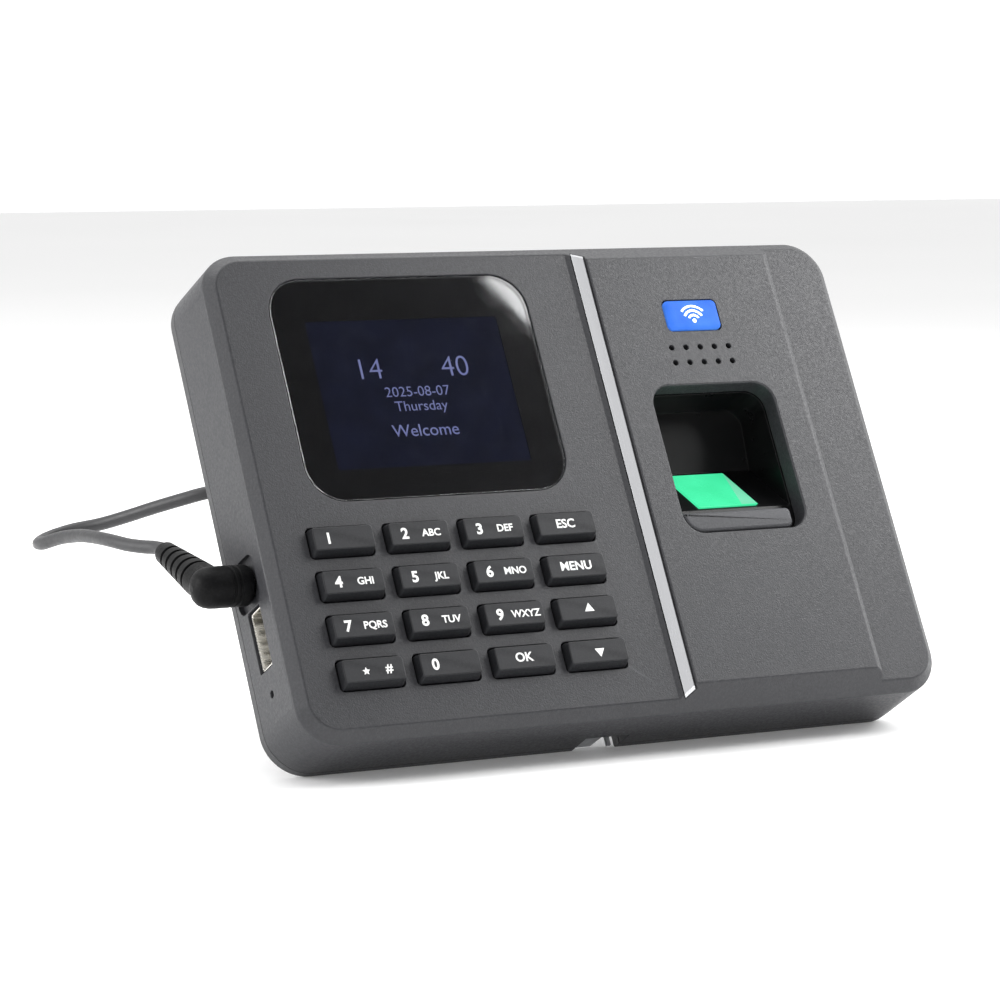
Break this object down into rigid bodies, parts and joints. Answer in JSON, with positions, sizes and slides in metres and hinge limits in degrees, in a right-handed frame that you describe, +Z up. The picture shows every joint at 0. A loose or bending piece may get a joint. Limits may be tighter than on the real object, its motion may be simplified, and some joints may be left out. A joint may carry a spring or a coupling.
{
  "type": "fingerprint scanner terminal",
  "caption": "Leaning desk terminal with a display, a rubber keypad, a lit finger sensor in a raised side panel, a folded steel stand and a coiled supply lead.",
  "frame": {"origin": "on the desk, under the middle of the terminal and its stand, cord left out", "axes": "+X to the right as the user faces it, -Y towards the user, +Z up"},
  "size_m": [0.1856, 0.1674, 0.1131],
  "materials": {
    "charcoal_plastic": "matte charcoal moulding with a fine spark grain",
    "cover_plastic": "satin dark grey moulding",
    "lens_black": "polished black acrylic",
    "screen_navy": "lit display glass",
    "module_steel": "folded steel frame",
    "trim_silver": "satin silver trim",
    "badge_blue": "lit translucent blue lens",
    "mat_silicone": "moulded silicone sheet",
    "board_green": "solder-masked circuit board",
    "chip_black": "moulded epoxy package",
    "cell_steel": "nickel-plated cell can",
    "battery_foil": "foil pouch",
    "speaker_steel": "pressed steel basket",
    "guide_black": "smooth black moulding",
    "sill_plastic": "matte charcoal moulding",
    "platen_green": "glass lit from inside",
    "jack_black": "moulded black housing",
    "usb_nickel": "nickel-plated steel",
    "usb_white": "white moulding",
    "screw_steel": "zinc-plated steel",
    "stand_zinc": "zinc-plated folded sheet",
    "pad_rubber": "soft black pad",
    "clip_nylon": "moulded nylon",
    "plug_black": "satin moulded grip",
    "cord_black": "satin flexible sheath",
    "tie_fabric": "woven hook-and-loop strap",
    "key_rubber": "matte moulded key"
  },
  "bodies": {
    "terminal": {"front_shell": "charcoal_plastic", "back_cover": "cover_plastic", "display_lens": "lens_black", "display_screen": "screen_navy", "display_module": "module_steel", "trim_strip": "trim_silver", "badge": "badge_blue", "keypad_mat": "mat_silicone", "keypad_board": "board_green", "main_board": "board_green", "processor": "chip_black", "clock_cell": "cell_steel", "backup_battery": "battery_foil", "speaker": "speaker_steel", "finger_guide": "guide_black", "finger_sill": "sill_plastic", "sensor_prism": "platen_green", "sensor_board": "board_green", "dc_jack": "jack_black", "usb_port_shell": "usb_nickel", "usb_port_tongue": "usb_white", "reset_switch": "jack_black", "cover_screw_1": "screw_steel", "cover_screw_2": "screw_steel", "cover_screw_3": "screw_steel", "cover_screw_4": "screw_steel", "desk_stand": "stand_zinc", "stand_screw_left": "screw_steel", "stand_screw_right": "screw_steel", "stand_pad_left": "pad_rubber", "stand_pad_right": "pad_rubber", "cord_clip": "clip_nylon", "dc_plug": "plug_black", "dc_plug_barrel": "usb_nickel", "supply_cord": "cord_black", "cord_coil": "cord_black", "cord_tie": "tie_fabric", "cord_tail": "cord_black", "usb_plug_body": "plug_black", "usb_plug_shell": "usb_nickel"},
    "key_1": {"key_1": "key_rubber"},
    "key_2": {"key_2": "key_rubber"},
    "key_3": {"key_3": "key_rubber"},
    "key_esc": {"key_esc": "key_rubber"},
    "key_4": {"key_4": "key_rubber"},
    "key_5": {"key_5": "key_rubber"},
    "key_6": {"key_6": "key_rubber"},
    "key_menu": {"key_menu": "key_rubber"},
    "key_7": {"key_7": "key_rubber"},
    "key_8": {"key_8": "key_rubber"},
    "key_9": {"key_9": "key_rubber"},
    "key_up": {"key_up": "key_rubber"},
    "key_star": {"key_star": "key_rubber"},
    "key_0": {"key_0": "key_rubber"},
    "key_ok": {"key_ok": "key_rubber"},
    "key_down": {"key_down": "key_rubber"},
    "reset_plunger": {"reset_plunger": "usb_white"}
  },
  "joints": [
    {"name": "key_1_press", "type": "slide", "parent": "terminal", "child": "key_1", "axis": [0, 0.8755, -0.4833], "range_m": [0, 0.001], "stiffness_N_per_m": 1500},
    {"name": "key_2_press", "type": "slide", "parent": "terminal", "child": "key_2", "axis": [0, 0.8755, -0.4833], "range_m": [0, 0.001], "stiffness_N_per_m": 1500},
    {"name": "key_3_press", "type": "slide", "parent": "terminal", "child": "key_3", "axis": [0, 0.8755, -0.4833], "range_m": [0, 0.001], "stiffness_N_per_m": 1500},
    {"name": "key_esc_press", "type": "slide", "parent": "terminal", "child": "key_esc", "axis": [0, 0.8755, -0.4833], "range_m": [0, 0.001], "stiffness_N_per_m": 1500},
    {"name": "key_4_press", "type": "slide", "parent": "terminal", "child": "key_4", "axis": [0, 0.8755, -0.4833], "range_m": [0, 0.001], "stiffness_N_per_m": 1500},
    {"name": "key_5_press", "type": "slide", "parent": "terminal", "child": "key_5", "axis": [0, 0.8755, -0.4833], "range_m": [0, 0.001], "stiffness_N_per_m": 1500},
    {"name": "key_6_press", "type": "slide", "parent": "terminal", "child": "key_6", "axis": [0, 0.8755, -0.4833], "range_m": [0, 0.001], "stiffness_N_per_m": 1500},
    {"name": "key_menu_press", "type": "slide", "parent": "terminal", "child": "key_menu", "axis": [0, 0.8755, -0.4833], "range_m": [0, 0.001], "stiffness_N_per_m": 1500},
    {"name": "key_7_press", "type": "slide", "parent": "terminal", "child": "key_7", "axis": [0, 0.8755, -0.4833], "range_m": [0, 0.001], "stiffness_N_per_m": 1500},
    {"name": "key_8_press", "type": "slide", "parent": "terminal", "child": "key_8", "axis": [0, 0.8755, -0.4833], "range_m": [0, 0.001], "stiffness_N_per_m": 1500},
    {"name": "key_9_press", "type": "slide", "parent": "terminal", "child": "key_9", "axis": [0, 0.8755, -0.4833], "range_m": [0, 0.001], "stiffness_N_per_m": 1500},
    {"name": "key_up_press", "type": "slide", "parent": "terminal", "child": "key_up", "axis": [0, 0.8755, -0.4833], "range_m": [0, 0.001], "stiffness_N_per_m": 1500},
    {"name": "key_star_press", "type": "slide", "parent": "terminal", "child": "key_star", "axis": [0, 0.8755, -0.4833], "range_m": [0, 0.001], "stiffness_N_per_m": 1500},
    {"name": "key_0_press", "type": "slide", "parent": "terminal", "child": "key_0", "axis": [0, 0.8755, -0.4833], "range_m": [0, 0.001], "stiffness_N_per_m": 1500},
    {"name": "key_ok_press", "type": "slide", "parent": "terminal", "child": "key_ok", "axis": [0, 0.8755, -0.4833], "range_m": [0, 0.001], "stiffness_N_per_m": 1500},
    {"name": "key_down_press", "type": "slide", "parent": "terminal", "child": "key_down", "axis": [0, 0.8755, -0.4833], "range_m": [0, 0.001], "stiffness_N_per_m": 1500},
    {"name": "reset_press", "type": "slide", "parent": "terminal", "child": "reset_plunger", "axis": [1, 0, 0], "range_m": [0, 0.0003], "stiffness_N_per_m": 3000}
  ]
}
